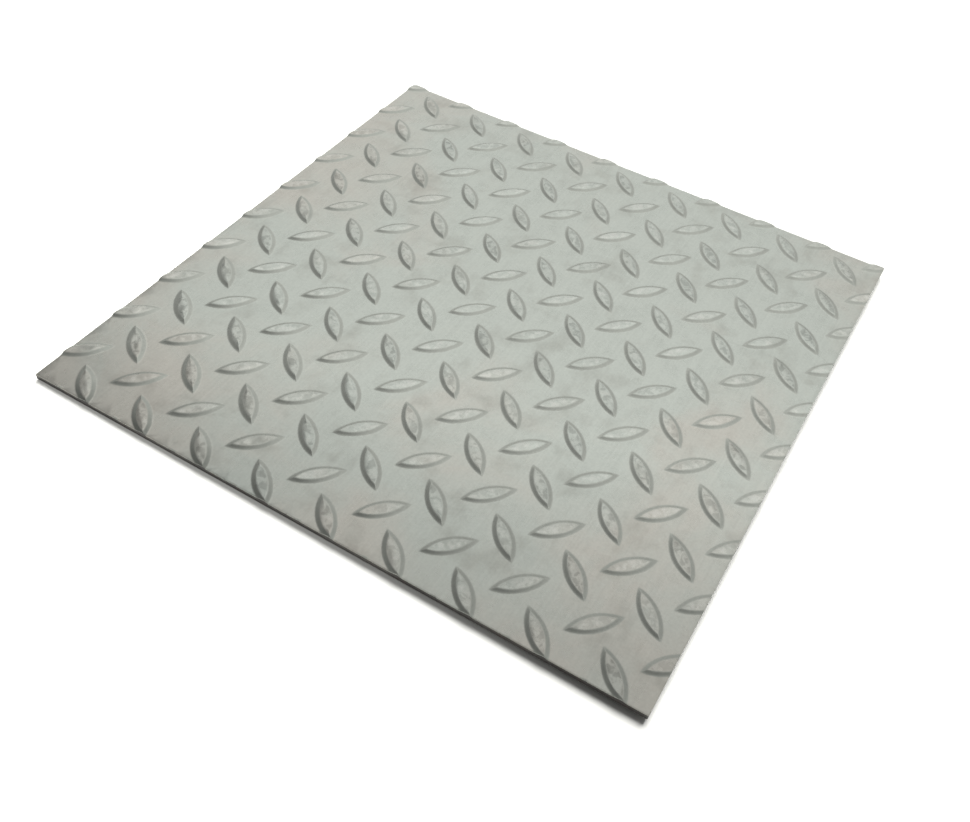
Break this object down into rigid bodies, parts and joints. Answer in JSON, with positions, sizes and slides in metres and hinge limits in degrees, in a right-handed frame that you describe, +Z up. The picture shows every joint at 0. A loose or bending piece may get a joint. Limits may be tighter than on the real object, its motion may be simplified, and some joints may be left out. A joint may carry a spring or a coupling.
{
  "type": "checker steel plate",
  "caption": "Flat square steel floor plate with raised lens-shaped anti-slip lugs rolled into its top face and a plain flat underside.",
  "frame": {"origin": "centre of the flat underside", "axes": "+Z up out of the lugged face, +X along the front edge, +Y from the front edge to the back edge"},
  "size_m": [0.3, 0.3, 0.004],
  "materials": {
    "plate_steel": "rolled mill finish, satin grey, with plain sheared edges"
  },
  "bodies": {
    "root": {"checker_plate": "plate_steel"}
  },
  "joints": []
}
